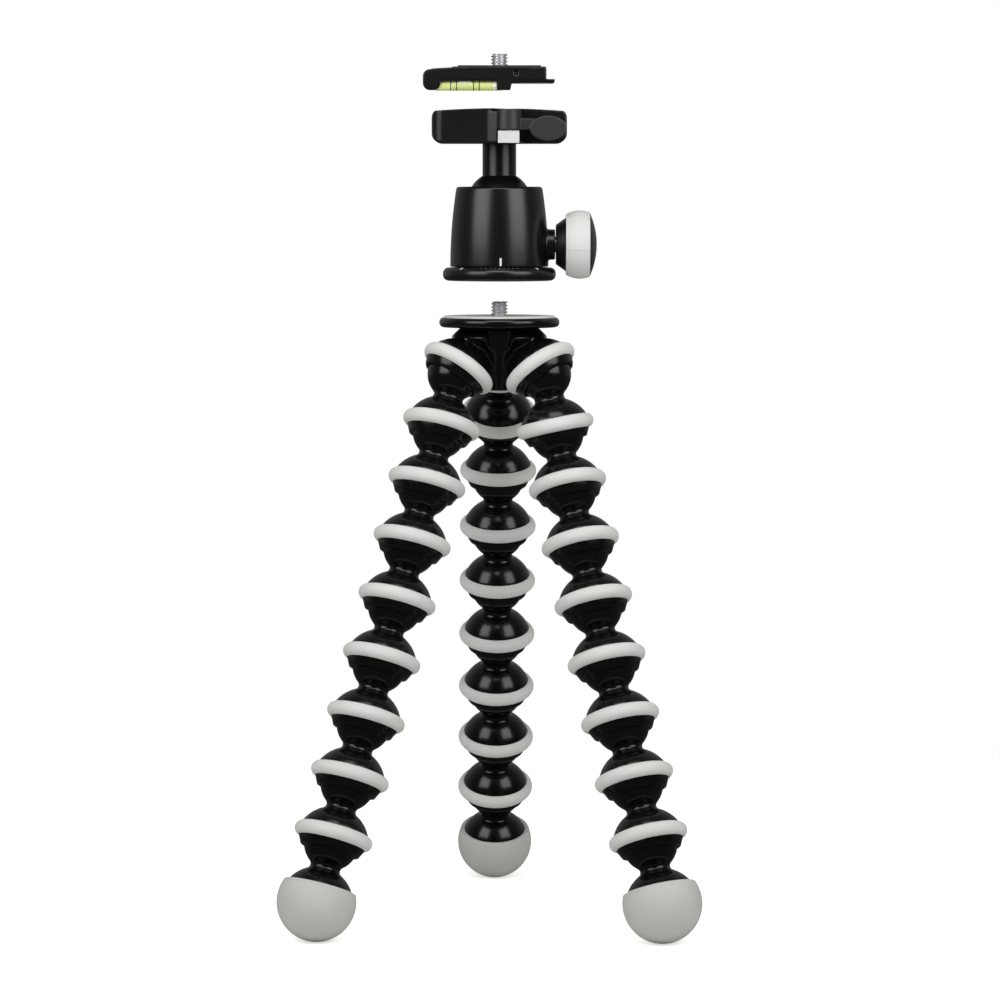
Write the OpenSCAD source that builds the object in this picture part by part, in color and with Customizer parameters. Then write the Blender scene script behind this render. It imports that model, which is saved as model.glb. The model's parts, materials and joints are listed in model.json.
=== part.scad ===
// Flexible leg tripod with a removable ball head and a quick-release plate.
// Sizes in millimetres. The tripod stands on z = 0 with its axis on z, and the viewer looks along +y.

/* [Leg link] */
// Radius of the ball on each link
ball_r = 10.2; // [9:0.1:11]
// Gap between a ball and the cup that holds it
ball_gap = 0.3; // [0.3:0.05:0.5]
// Distance from one ball centre to the next
link_pitch = 23.1; // [22.6:0.1:26]
// Radius of the waist between ball and cup
neck_r = 5.7; // [5:0.1:6.2]
// Wall of the cup over its hollow
cup_wall = 3.3; // [3:0.1:3.8]
// Depth that the cup's lip reaches past the ball centre
lip_drop = 2.9; // [2.4:0.1:3.2]
// Wall of the lip at its edge
lip_wall = 1.2; // [1:0.1:2]

/* [Grip ring] */
// Radius of the round section of a grip ring
ring_section = 2.7; // [2.4:0.1:3]
// Height of a grip ring's middle above the ball centre
ring_up = 2.9; // [2.8:0.1:3.4]
// How far a grip ring stands out from its seat
ring_proud = 2.2; // [1.6:0.05:2.6]
// Gap between a moulded-on skin and its core
skin_gap = 0.05; // [0.04:0.01:0.1]

/* [Foot] */
// Radius of the round rubber foot
foot_r = 14.8; // [14:0.1:16.5]
// Distance from the foot's ball centre to the middle of its rubber
foot_len = 22.4; // [22:0.1:26]
// Height of the rubber's edge above its middle
foot_edge = 5.9; // [5:0.1:7]
// Radius of the core inside the rubber
foot_core_r = 8.8; // [7:0.1:10]

/* [Stance] */
// Drop from the hub's ball centres to the feet's
leg_drop = 172; // [168:0.5:174]
// Lean of the rear leg's first link from upright
rear_first = 31.5; // [26:0.5:34]
// Lean of the left leg's first link from upright
left_first = 21; // [18:0.5:24]
// Lean of the right leg's first link from upright
right_first = 13; // [11:0.5:18]
// Lean that the rear leg gains from its second link to its last
rear_bow = 9; // [0:0.5:12]
// Lean that a front leg gains from its second link to its last
front_bow = 2; // [0:0.5:6]
// Lean of a foot from upright
foot_lean = 21; // [19:0.5:24]
// Direction of the rear leg seen from above
rear_turn = 91.5; // [84:0.5:96]
// Direction of the left leg seen from above
left_turn = 228; // [206:0.5:230]
// Direction of the right leg seen from above
right_turn = 303.5; // [302:0.5:334]
// Direction of the right leg's first link seen from above
right_first_turn = 333.5; // [326:0.5:338]
// Lift of the ball head above its seat, as shown
head_lift = 13.4; // [8:0.1:40]
// Lift of the plate above its seat, as shown
plate_lift = 12.3; // [10:0.1:40]

/* [Hub] */
// Distance of the hub's ball centres from the axis
hub_reach = 19.7; // [19.4:0.1:22]
// Tilt of the hub's cups from straight down
hub_tilt = 38; // [32:0.5:42]
// Radius of the hub's neck under the disc
hub_neck_r = 14.7; // [13:0.1:16]
// Height above the hub's ball centres where its column reaches the neck
hub_neck_h = 15; // [13:0.1:16]
// Radius of the hub's shoulders over its cups
shoulder_r = 18.6; // [17:0.1:19]
// Height of the hub's top above its ball centres
hub_top = 17.6; // [17:0.1:19]
// Depth of the hub's tip below its ball centres
hub_tip = 6.6; // [4:0.1:8]
// Radius of the hub's tip
hub_tip_r = 4; // [3:0.1:5]
// Radius of the top disc
disc_r = 22.9; // [20:0.1:26]
// Thickness of the top disc
disc_h = 3.7; // [3.5:0.1:5]
// Thickness of the rubber pad on the disc
pad_h = 0.6; // [0.5:0.1:1]
// Width and rounding of the disc's rim outside the pad
pad_margin = 1.7; // [0.8:0.1:1.8]

/* [Screw threads] */
// Height of each screw above its face
screw_rise = 5.4; // [4:0.1:5.6]
// Radius of the stud's head in the hub
stud_head_r = 6; // [5:0.1:7]
// Thickness of the stud's head
stud_head_h = 3; // [2.4:0.1:3.5]
// Gap around a part that turns or slides
run_gap = 0.3; // [0.3:0.05:0.5]

/* [Ball head] */
// Radius of the pan base
base_r = 21.5; // [20.5:0.1:23]
// Thickness of the pan base's rim
base_h = 5; // [4:0.1:6]
// Rounding of the pan base's rim
base_soft = 2.2; // [1.6:0.1:2.4]
// Radius of the spigot that the housing turns on
spigot_r = 9; // [8:0.1:9.5]
// Radius of the brass insert in the pan base
insert_r = 6; // [5:0.1:6.5]
// Height of the housing
house_h = 30.4; // [30.2:0.1:33]
// Radius of the housing at the bottom
house_r = 18.7; // [18.4:0.1:19.6]
// Radius that the housing loses towards its top
house_taper = 2.4; // [2:0.1:2.8]
// Bevel of the housing's top edge
house_bevel = 0.6; // [0.4:0.1:0.8]
// Thickness of the housing's floor
house_floor = 3; // [2.6:0.1:3]
// Radius of the head's ball
head_ball_r = 12.4; // [12:0.1:12.5]
// Depth of the ball's centre under the housing's top
ball_sink = 6.5; // [6:0.1:7]
// Radius of the ball's stem
stem_r = 6.4; // [5.5:0.1:6.6]
// Height of the stem above the housing's top
stem_rise = 16.4; // [15:0.1:20]
// Height of the retaining ring in the housing
retainer_h = 1.4; // [1:0.1:1.4]
// Width of the retaining ring
retainer_w = 2.6; // [2:0.1:2.8]
// Height of the seat under the ball
seat_h = 6; // [5:0.1:6.5]
// Radius of the hole in that seat
seat_bore_r = 6; // [5:0.1:7]

/* [Locking knob] */
// Height of the knob's axis above the pan base's rim
knob_axis = 8.7; // [8.7:0.1:8.9]
// Radius of the housing's boss behind the knob
boss_r = 5.8; // [5.5:0.1:6.2]
// Reach of the boss from the head's axis
boss_reach = 21.2; // [21:0.1:23]
// Radius of the knob's screw
knob_screw_r = 3; // [2.6:0.1:3.4]
// Length of the knob's cone
cone_h = 3.8; // [3:0.1:4.5]
// Radius of the cone at the boss
cone_r = 7.5; // [6.5:0.1:8]
// Length of the knob's rubber band
band_h = 9.1; // [8:0.1:10]
// Largest radius of the rubber band
band_r = 13; // [12.4:0.1:13.4]
// Radius of the rubber band's hump along the axis
band_hump = 10; // [9.5:0.1:14]
// Place of the band's largest radius along its length
band_peak = 0.58; // [0.5:0.01:0.65]
// Radius of the knob's core under the band
core_r = 10.2; // [9:0.1:10.4]
// Thickness of the core under the cap
knob_floor = 2; // [1.6:0.1:3]
// Height of the knob's domed cap
cap_h = 2.7; // [2:0.1:3.2]
// Radius of the knob's cap
cap_r = 12.2; // [11.6:0.1:12.3]
// Length of the brake's nose
brake_len = 7; // [6:0.1:8]
// Radius of the brake's nose
brake_r = 2.8; // [2.4:0.1:2.8]
// Way that the brake draws back when the knob is loosened
brake_travel = 1.25; // [1:0.05:1.5]
// Place of the brake's rear end beside the head's axis
brake_x = 3; // [2.6:0.1:3.2]

/* [Clamp] */
// Half width of the clamp
clamp_half = 25.5; // [25.2:0.1:28]
// Height of the clamp
clamp_h = 13; // [13:0.1:15]
// Front face of the clamp
clamp_front = 20.5; // [20:0.1:21.5]
// Rear face of the clamp
clamp_rear = 24; // [23.6:0.1:27]
// Front face of the clamp behind the lever
lever_wall = 15.2; // [14.6:0.1:15.4]
// Rounding of the clamp's ends
clamp_round = 3.6; // [2:0.1:4.2]
// Rounding of the clamp's corners seen from above
clamp_corner = 4.5; // [3:0.1:6]
// Rise of the clamp's top from its ends to its middle
crown = 1; // [0.6:0.1:1.2]
// Place along x where the clamp's flank leaves its front
flank_x = -4.5; // [-6:0.1:-3.8]
// Depth of the pocket for the plate
pocket_h = 2.6; // [2.4:0.1:2.8]
// Fit of the plate in its pocket
pocket_gap = 0.5; // [0.4:0.05:0.7]
// Place of the lever's pin along x
pin_x = 3.5; // [3.2:0.1:4]
// Distance of the lever's pin in front of the axis
pin_y = 18.4; // [18.2:0.1:18.6]
// Radius of the lever's pin
pin_r = 1.6; // [1.2:0.1:1.8]
// Radius of the lever's round end
lever_hub_r = 4.8; // [4.4:0.1:4.9]
// Width of the steel jaw
jaw_w = 8; // [7:0.1:8.6]
// Thickness of the steel jaw's tongue
jaw_h = 3.4; // [3:0.1:3.6]
// Thickness of the steel jaw's face
jaw_face = 3; // [2.4:0.1:3.2]
// Thickness of the clamp's floor under the tongue
clamp_floor = 0.8; // [0.7:0.1:1.2]
// Travel of the jaw when the lever opens
jaw_travel = 1.4; // [1:0.1:1.5]
// Width of the lever's oval pad
pad_w = 13.8; // [13:0.1:14.4]
// Height of the lever's oval pad
pad_tall = 9.5; // [9:0.1:9.6]
// Place of the oval pad's middle along x
pad_x = 18.4; // [18.2:0.1:18.6]
// Height of the oval pad above the clamp's underside
pad_rise = 0.7; // [0.5:0.1:0.8]
// Depth of the lever's oval pad
pad_depth = 8; // [7:0.1:8.2]
// Thickness of the lever's arm
arm_t = 4; // [3:0.1:4.4]
// Step of the arm below the top of the pad
arm_drop = 1; // [0.6:0.1:2]
// Radius of the screw that holds the clamp on its stem
hold_r = 2; // [1.6:0.1:2.2]
// Radius of that screw's head
hold_head_r = 4; // [3.4:0.1:4.2]
// Thickness of that screw's head
hold_head_h = 2.3; // [2:0.1:2.4]
// Length of that screw in the stem
hold_len = 8; // [6:0.1:10]

/* [Plate] */
// Half width of the plate
plate_half = 17.6; // [17:0.1:18]
// Front edge of the plate's foot
foot_front = 7.8; // [7.6:0.1:8]
// Rear edge of the plate's foot
foot_rear = 20; // [19:0.1:20.4]
// Thickness of the plate above the clamp
plate_top_h = 2.9; // [2.6:0.1:3.6]
// Width of the flange on the plate's right
flange_w = 3.4; // [3:0.1:3.6]
// Thickness of that flange
flange_h = 1.2; // [1:0.1:1.6]
// Front face of the level's bar
bar_front = 29; // [28.4:0.1:30]
// Depth of the level's bar
bar_d = 5.4; // [5:0.1:5.6]
// Left end of the level's bar
bar_left = 28.6; // [28:0.1:31]
// Right end of the level's bar
bar_right = 5.5; // [5:0.1:5.8]
// Width of the bar's left end block
block_w = 6.7; // [6:0.1:8]
// Drop of the end blocks below the plate's foot
block_drop = 3.4; // [3.3:0.1:3.6]
// Rounding of the left end block
block_round = 2.6; // [2:0.1:3]
// Width of the bar's right end block
end_w = 6.5; // [5.8:0.1:7]
// Slope of that block's right side
end_slope = 1.4; // [1:0.1:2]
// Fall of the bar's top from its middle to its left end
bar_crown = 1.1; // [0.6:0.1:1.6]
// Place of the notch in the bar's front
notch_x = 5.6; // [5.4:0.1:7]
// Width and depth of that notch
notch_w = 1.4; // [1:0.1:2]
// Height of that notch
notch_h = 1.9; // [1.4:0.1:2.4]
// Radius of the level's tube
vial_r = 1.8; // [1.6:0.1:1.9]
// Radius of the camera screw's smooth neck
screw_neck_r = 2.6; // [2.4:0.1:2.8]
// Radius of the camera screw's head
screw_head_r = 7; // [6:0.1:7.5]
// Thickness of the camera screw's head
screw_head_h = 2.4; // [2:0.1:2.8]
// Width of the bare rim round the plate's rubber
rim_w = 2; // [1:0.1:3]

/* [Hidden] */
$fn = 96;
BLACK = [0.09, 0.09, 0.1];
GREY = [0.78, 0.78, 0.77];
STEEL = [0.72, 0.73, 0.75];
BRASS = [0.75, 0.6, 0.3];
LIME = [0.8, 0.85, 0.5];
// Links below the hub on each leg
links = 8;
// Outer radius of a quarter inch camera thread
thread_r = 3.175;
// Length that a cut runs past a face
past = 1;
cup_in = ball_r + ball_gap;
dome_r = cup_in + cup_wall;
ring_bite = ring_section - ring_proud;
ring_out = ring_up + sqrt(ring_section * ring_section - ring_bite * ring_bite);
ring_seat = sqrt(dome_r * dome_r - ring_out * ring_out);
lip_r = sqrt(cup_in * cup_in - lip_drop * lip_drop) + lip_wall;
ring_centre = ring_seat - ring_bite;

// Leg: 0 rear, 1 left, 2 right. Joint 1 is the hub's ball, joint links + 1 the foot's.
REAR = 0;
LEFT = 1;
RIGHT = 2;
turns = [rear_turn, left_turn, right_turn];
first_turns = [rear_turn, left_turn, right_first_turn];
first_leans = [rear_first, left_first, right_first];
bows = [rear_bow, front_bow, front_bow];
cup_turns = [90, 210, 330];
// Links 2 to the last share a mean lean, which brings every foot to the floor, and a bow about it.
function bend(leg, i) = bows[leg] * ((i - 2) / (links - 2) - 1 / 2);
function share(leg, i) = i < 2 ? 0 : cos(bend(leg, i)) + share(leg, i - 1);
function mean_lean(leg) = acos((leg_drop / link_pitch - cos(first_leans[leg])) / share(leg, links));
function lean(leg, i) =
    i == 1 ? first_leans[leg] : i > links ? foot_lean : mean_lean(leg) + bend(leg, i);
function turn(leg, i) = i == 1 ? first_turns[leg] : turns[leg];
function way(leg, i) =
    [sin(lean(leg, i)) * cos(turn(leg, i)), sin(lean(leg, i)) * sin(turn(leg, i)), -cos(lean(leg, i))];
hub_z = foot_r + foot_len * cos(foot_lean) + leg_drop;
function hub_joint(leg) =
    [hub_reach * cos(cup_turns[leg]), hub_reach * sin(cup_turns[leg]), hub_z];
function joint(leg, i) =
    i == 1 ? hub_joint(leg) : joint(leg, i - 1) + link_pitch * way(leg, i - 1);

disc_z = hub_z + hub_top;
pad_z = disc_z + disc_h;
seat_z = pad_z + pad_h;
base_z = seat_z + head_lift;
house_z = base_z + base_h + run_gap;
rim_z = house_z + house_h;
ball_z = rim_z - ball_sink;
socket_r = head_ball_r + run_gap;
floor_z = house_z + house_floor;
retainer_z = floor_z + run_gap;
retainer_r = spigot_r + retainer_w;
knob_z = base_z + base_h + knob_axis;
knob_x = boss_reach + run_gap;
band_x = knob_x + cone_h;
cap_x = band_x + band_h;
band_mid = band_x + band_peak * band_h;
knob_end = cap_x - knob_floor;
screw_x = brake_x + brake_travel + run_gap;
ball_seat_z = knob_z + brake_r + run_gap;

clamp_z = rim_z + stem_rise;
clamp_top = clamp_z + clamp_h;
pocket_z = clamp_top - pocket_h;
tongue_z = clamp_z + clamp_floor + run_gap;
lever_z = tongue_z + jaw_h + run_gap;
jaw_y = foot_front + pocket_gap;
lever_top = clamp_top - run_gap;
jaw_tip = pin_y + lever_hub_r - run_gap;
oval_z = clamp_z + pad_rise;
// Share of an oval's height that its end arcs take
oval_end = 0.39;
hold_z = pocket_z - hold_head_h - run_gap;
plate_z = pocket_z + run_gap + plate_lift;
slab_z = plate_z + pocket_h;
plate_top = slab_z + plate_top_h;
block_top = plate_top - bar_crown;
block_low = plate_z - block_drop;
head_z = plate_z + 2 * run_gap;
// Length of the level's tube held in each block
vial_hold = 2;

// Cup opening downwards round a ball centre at the origin.
module cup_outside() {
    intersection() {
        sphere(r = dome_r);
        translate([0, 0, -lip_drop]) cylinder(r = ring_seat, h = lip_drop + dome_r);
    }
}

module cup_hollow() {
    sphere(r = cup_in);
    // Lip drawn in below the ring
    rotate_extrude()
        polygon([[lip_r, -lip_drop - past], [lip_r, -lip_drop], [ring_seat, ring_up - ring_section],
            [dome_r, ring_up - ring_section], [dome_r, -lip_drop - past]]);
}

module grip_ring() {
    rotate_extrude()
        intersection() {
            translate([ring_centre, ring_up]) circle(r = ring_section);
            translate([ring_seat + skin_gap, ring_up - ring_section])
                square([ring_section * 2, ring_section * 2]);
        }
}

// Link hanging from its own ball centre at the origin.
module link_core() {
    difference() {
        union() {
            sphere(r = ball_r);
            translate([0, 0, -link_pitch + cup_in]) cylinder(r = neck_r, h = link_pitch - cup_in);
            translate([0, 0, -link_pitch]) cup_outside();
        }
        translate([0, 0, -link_pitch]) cup_hollow();
    }
}

module link() {
    color(BLACK) link_core();
    color(GREY) translate([0, 0, -link_pitch]) grip_ring();
}

module foot_core(grow = 0) {
    translate([0, 0, -foot_len]) {
        sphere(r = foot_core_r + grow);
        cylinder(r = foot_core_r + grow, h = foot_edge);
    }
}

module foot_ball() {
    color(BLACK) {
        sphere(r = ball_r);
        translate([0, 0, -foot_len + foot_edge]) cylinder(r = neck_r, h = foot_len - foot_edge);
        intersection() {
            translate([0, 0, -link_pitch]) sphere(r = dome_r);
            translate([0, 0, -foot_len + foot_edge]) cylinder(r = dome_r, h = dome_r);
        }
        foot_core();
    }
}

module foot_pad() {
    color(GREY)
        difference() {
            translate([0, 0, -foot_len]) sphere(r = foot_r);
            translate([0, 0, -foot_len + foot_edge - skin_gap]) cylinder(r = foot_r, h = foot_r);
            foot_core(skin_gap);
        }
}

// Puts a link, drawn under its ball centre, at its place on a leg.
module on_leg(leg, i) {
    translate(joint(leg, i)) rotate([0, 0, turn(leg, i)]) rotate([0, -lean(leg, i), 0]) children();
}

module at_cup(leg) {
    translate(hub_joint(leg)) rotate([0, 0, cup_turns[leg]]) rotate([0, -hub_tilt, 0]) children();
}

module left_link_1() on_leg(LEFT, 1) link();
module left_link_2() on_leg(LEFT, 2) link();
module left_link_3() on_leg(LEFT, 3) link();
module left_link_4() on_leg(LEFT, 4) link();
module left_link_5() on_leg(LEFT, 5) link();
module left_link_6() on_leg(LEFT, 6) link();
module left_link_7() on_leg(LEFT, 7) link();
module left_link_8() on_leg(LEFT, 8) link();
module left_foot_ball() on_leg(LEFT, links + 1) foot_ball();
module left_foot_pad() on_leg(LEFT, links + 1) foot_pad();
module right_link_1() on_leg(RIGHT, 1) link();
module right_link_2() on_leg(RIGHT, 2) link();
module right_link_3() on_leg(RIGHT, 3) link();
module right_link_4() on_leg(RIGHT, 4) link();
module right_link_5() on_leg(RIGHT, 5) link();
module right_link_6() on_leg(RIGHT, 6) link();
module right_link_7() on_leg(RIGHT, 7) link();
module right_link_8() on_leg(RIGHT, 8) link();
module right_foot_ball() on_leg(RIGHT, links + 1) foot_ball();
module right_foot_pad() on_leg(RIGHT, links + 1) foot_pad();
module rear_link_1() on_leg(REAR, 1) link();
module rear_link_2() on_leg(REAR, 2) link();
module rear_link_3() on_leg(REAR, 3) link();
module rear_link_4() on_leg(REAR, 4) link();
module rear_link_5() on_leg(REAR, 5) link();
module rear_link_6() on_leg(REAR, 6) link();
module rear_link_7() on_leg(REAR, 7) link();
module rear_link_8() on_leg(REAR, 8) link();
module rear_foot_ball() on_leg(REAR, links + 1) foot_ball();
module rear_foot_pad() on_leg(REAR, links + 1) foot_pad();

// Hub: three cups on one tapered column.
module hub_column() {
    rotate_extrude()
        polygon([[0, hub_z - hub_tip], [hub_tip_r, hub_z - hub_tip], [hub_neck_r, hub_z + hub_neck_h],
            [hub_neck_r, disc_z], [0, disc_z]]);
}

// Shoulder that slopes from the neck out over one cup.
module hub_shoulder(leg) {
    intersection() {
        rotate_extrude()
            polygon([[0, hub_z], [shoulder_r, hub_z + dome_r], [hub_neck_r, disc_z], [0, disc_z]]);
        translate(hub_joint(leg)) cylinder(r = dome_r, h = hub_top);
    }
}

module stud_hole(r, z0, z1) {
    translate([0, 0, z0]) cylinder(r = r, h = z1 - z0);
}

module hub_body() {
    color(BLACK)
        difference() {
            union() {
                hub_column();
                for (leg = [REAR, LEFT, RIGHT]) {
                    at_cup(leg) cup_outside();
                    hub_shoulder(leg);
                }
            }
            for (leg = [REAR, LEFT, RIGHT]) at_cup(leg) cup_hollow();
            stud_hole(stud_head_r + skin_gap, disc_z - stud_head_h - skin_gap, disc_z + past);
        }
}

module hub_rings() {
    color(GREY)
        for (leg = [REAR, LEFT, RIGHT]) at_cup(leg) grip_ring();
}

// Flat round with a rounded rim, standing on z = 0.
module rounded_disc(r, h, soft) {
    rotate_extrude() {
        square([r - soft, h]);
        translate([0, soft]) square([r, h - 2 * soft]);
        for (z = [soft, h - soft]) translate([r - soft, z]) circle(r = soft);
    }
}

module top_disc() {
    color(BLACK)
        difference() {
            translate([0, 0, disc_z]) rounded_disc(disc_r, disc_h, pad_margin);
            stud_hole(thread_r + skin_gap, disc_z - past, pad_z + past);
        }
}

module disc_pad() {
    color(GREY)
        difference() {
            translate([0, 0, pad_z]) cylinder(r = disc_r - pad_margin, h = pad_h);
            stud_hole(thread_r + skin_gap, pad_z - past, seat_z + past);
        }
}

module tripod_stud() {
    color(STEEL) {
        stud_hole(stud_head_r, disc_z - stud_head_h, disc_z - skin_gap);
        stud_hole(thread_r, disc_z - stud_head_h, seat_z + screw_rise);
    }
}

// Ball head: base, housing and what they hold.
module pan_base() {
    color(BLACK)
        difference() {
            union() {
                translate([0, 0, base_z]) rounded_disc(base_r, base_h, base_soft);
                stud_hole(spigot_r, base_z, retainer_z + retainer_h);
            }
            stud_hole(insert_r, base_z - past, base_z + base_h + house_floor);
        }
}

module base_insert() {
    color(BRASS)
        difference() {
            stud_hole(insert_r, base_z, base_z + base_h + house_floor);
            stud_hole(thread_r + run_gap, base_z - past, base_z + screw_rise + past);
        }
}

module pan_retainer() {
    color(STEEL)
        difference() {
            stud_hole(retainer_r, retainer_z, retainer_z + retainer_h);
            stud_hole(spigot_r + skin_gap, retainer_z - past, retainer_z + retainer_h + past);
        }
}

module house_outside() {
    // One long arc, upright at the bottom, leans in by the taper at the top
    flank_r = (house_h * house_h + house_taper * house_taper) / (2 * house_taper);
    translate([0, 0, house_z])
        rotate_extrude()
            intersection() {
                translate([house_r - flank_r, 0]) circle(r = flank_r, $fn = 360);
                polygon([[0, 0], [house_r, 0], [house_r, house_h - house_bevel],
                    [house_r - house_taper, house_h - house_bevel],
                    [house_r - house_taper - house_bevel, house_h], [0, house_h]]);
            }
}

// Cylinder along the knob's axis.
module along_knob(r, x0, x1) {
    translate([x0, 0, knob_z]) rotate([0, 90, 0]) cylinder(r = r, h = x1 - x0);
}

module housing() {
    slot_r = stem_r + run_gap;
    color(BLACK)
        difference() {
            union() {
                house_outside();
                along_knob(boss_r, house_r - house_floor, boss_reach);
            }
            translate([0, 0, ball_z]) sphere(r = socket_r);
            stud_hole(socket_r, floor_z, ball_z);
            stud_hole(spigot_r + run_gap, house_z - past, floor_z + past);
            along_knob(knob_screw_r + run_gap, 0, boss_reach + past);
            // Slot that lets the stem lie down towards the rear
            translate([0, 0, ball_z]) {
                rotate([-90, 0, 0]) cylinder(r = slot_r, h = house_r + past);
                translate([-slot_r, 0, 0]) cube([2 * slot_r, house_r + past, ball_sink + past]);
            }
        }
}

module ball_seat() {
    color(BRASS)
        difference() {
            stud_hole(socket_r - run_gap, ball_seat_z, ball_seat_z + seat_h);
            translate([0, 0, ball_z]) sphere(r = socket_r);
            stud_hole(seat_bore_r, ball_seat_z - past, ball_seat_z + seat_h + past);
        }
}

module brake_nose() {
    color(STEEL)
        translate([brake_x - brake_len, 0, knob_z]) rotate([0, 90, 0]) {
            cylinder(r1 = brake_r / 2, r2 = brake_r, h = brake_len / 2);
            translate([0, 0, brake_len / 2]) cylinder(r = brake_r, h = brake_len / 2);
        }
}

module knob_core() {
    color(BLACK)
        difference() {
            union() {
                translate([knob_x, 0, knob_z]) rotate([0, 90, 0])
                    cylinder(r1 = cone_r, r2 = core_r, h = cone_h);
                along_knob(core_r, band_x, cap_x);
            }
            along_knob(knob_screw_r + skin_gap, knob_x - past, knob_end);
        }
}

module knob_grip() {
    color(GREY)
        translate([0, 0, knob_z])
            rotate([0, 90, 0])
                rotate_extrude()
                    difference() {
                        intersection() {
                            translate([band_r - band_hump, band_mid]) circle(r = band_hump);
                            translate([0, band_x]) square([band_r, band_h]);
                        }
                        translate([-past, band_x - past])
                            square([core_r + skin_gap + past, band_h + 2 * past]);
                    }
}

module knob_cap() {
    dome = (cap_r * cap_r + cap_h * cap_h) / (2 * cap_h);
    color(BLACK)
        translate([cap_x, 0, knob_z])
            rotate([0, 90, 0])
                rotate_extrude()
                    intersection() {
                        translate([0, cap_h - dome]) circle(r = dome, $fn = 360);
                        square([cap_r, cap_h]);
                    }
}

module knob_screw() {
    color(STEEL) along_knob(knob_screw_r, screw_x, knob_end - skin_gap);
}

module ball_stem() {
    color(BLACK)
        difference() {
            union() {
                translate([0, 0, ball_z]) sphere(r = head_ball_r);
                stud_hole(stem_r, ball_z, clamp_z);
            }
            stud_hole(hold_r + skin_gap, clamp_z - hold_len - past, clamp_z + past);
        }
}

// Rectangle with rounded corners, centred.
module soft_square(w, h, r) {
    square([w - 2 * r, h], center = true);
    square([w, h - 2 * r], center = true);
    for (x = [-1, 1], y = [-1, 1])
        translate([x * (w / 2 - r), y * (h / 2 - r)]) circle(r = r);
}

// Clamp's block, round at its ends and crowned on top.
module clamp_block() {
    deep = clamp_front + clamp_rear;
    crown_r = (clamp_half * clamp_half + crown * crown) / (2 * crown);
    intersection() {
        translate([0, clamp_rear, clamp_z + clamp_h / 2])
            rotate([90, 0, 0])
                linear_extrude(height = deep) soft_square(2 * clamp_half, clamp_h, clamp_round);
        translate([0, (clamp_rear - clamp_front) / 2, clamp_z])
            linear_extrude(height = clamp_h) soft_square(2 * clamp_half, deep, clamp_corner);
        translate([0, clamp_rear + past, clamp_top - crown_r])
            rotate([90, 0, 0]) cylinder(r = crown_r, h = deep + 2 * past, $fn = 360);
    }
}

// Flank that leads from the clamp's face to the lever's round end, tangent to it.
module clamp_flank() {
    start = [flank_x - pin_x, pin_y - clamp_front];
    turn = atan2(start[1], start[0]) + acos(lever_hub_r / norm(start));
    tip = [pin_x + lever_hub_r * cos(turn), -pin_y + lever_hub_r * sin(turn)];
    translate([0, 0, clamp_z])
        linear_extrude(height = clamp_h - crown)
            polygon([[flank_x, -clamp_front], tip, [tip[0], -lever_wall], [flank_x, -lever_wall]]);
}

module clamp_body() {
    room = lever_hub_r + run_gap;
    slot_w = jaw_w + 2 * run_gap;
    slot_x = pin_x - slot_w / 2;
    front = pin_y + room + past;
    color(BLACK)
        difference() {
            union() {
                clamp_block();
                clamp_flank();
            }
            // Pocket for the plate
            translate([-plate_half - pocket_gap, -foot_front - pocket_gap, pocket_z])
                cube([2 * (plate_half + pocket_gap) + flange_w, foot_front + foot_rear + 2 * pocket_gap,
                    pocket_h + past]);
            // Room for the lever
            translate([pin_x, -pin_y, lever_z - run_gap]) cylinder(r = room, h = clamp_h);
            translate([pin_x, -front, tongue_z - run_gap])
                cube([clamp_half, front - lever_wall, clamp_h + past]);
            translate([pin_x + room, -front, clamp_z - past])
                cube([clamp_half, front - lever_wall, clamp_h + 2 * past]);
            // Slot for the jaw's tongue, face and nose
            translate([slot_x, -front, tongue_z - run_gap])
                cube([slot_w, front - jaw_y + run_gap, jaw_h + 2 * run_gap]);
            translate([slot_x, -jaw_y - jaw_face - jaw_travel - run_gap, tongue_z])
                cube([slot_w, jaw_face + jaw_travel + run_gap + past, clamp_h]);
            translate([slot_x, -front, clamp_z - past])
                cube([slot_w, front - clamp_front, lever_z - clamp_z + past]);
            translate([pin_x, -pin_y, clamp_z - past]) cylinder(r = pin_r + skin_gap, h = clamp_h);
            stud_hole(hold_r + run_gap, clamp_z - past, clamp_top);
            stud_hole(hold_head_r + skin_gap, hold_z, clamp_top);
        }
}

module clamp_screw() {
    color(STEEL) {
        stud_hole(hold_head_r, hold_z, hold_z + hold_head_h);
        stud_hole(hold_r, clamp_z - hold_len, hold_z + hold_head_h);
    }
}

module lever_pin() {
    color(STEEL) translate([pin_x, -pin_y, clamp_z]) cylinder(r = pin_r, h = lever_top - clamp_z);
}

// Jaw: a tongue under the lever, a face against the plate and a nose in front of the clamp.
module clamp_jaw() {
    slot = pin_r + run_gap;
    left = pin_x - jaw_w / 2;
    color(STEEL)
        difference() {
            union() {
                translate([left, -jaw_tip, tongue_z]) cube([jaw_w, jaw_tip - jaw_y, jaw_h]);
                translate([left, -jaw_y - jaw_face, tongue_z])
                    cube([jaw_w, jaw_face, lever_top - run_gap - tongue_z]);
                translate([left, -jaw_tip, clamp_z])
                    cube([jaw_w, jaw_tip - clamp_front - run_gap, tongue_z - clamp_z + jaw_h]);
            }
            for (y = [0, jaw_travel])
                translate([pin_x, y - pin_y, tongue_z - past]) cylinder(r = slot, h = jaw_h + 2 * past);
            translate([pin_x - slot, -pin_y, tongue_z - past])
                cube([2 * slot, jaw_travel, jaw_h + 2 * past]);
        }
}

// Oval of four arcs, centred.
module oval(w, h) {
    end_r = h * oval_end;
    side = w / 2 - end_r;
    big = (side * side + h * h / 4 - end_r * end_r) / (2 * (h / 2 - end_r));
    reach = big * side / (big - end_r);
    for (x = [-side, side]) translate([x, 0]) circle(r = end_r);
    intersection() {
        translate([0, h / 2 - big]) circle(r = big);
        translate([0, big - h / 2]) circle(r = big);
        square([2 * reach, h], center = true);
    }
}

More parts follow.
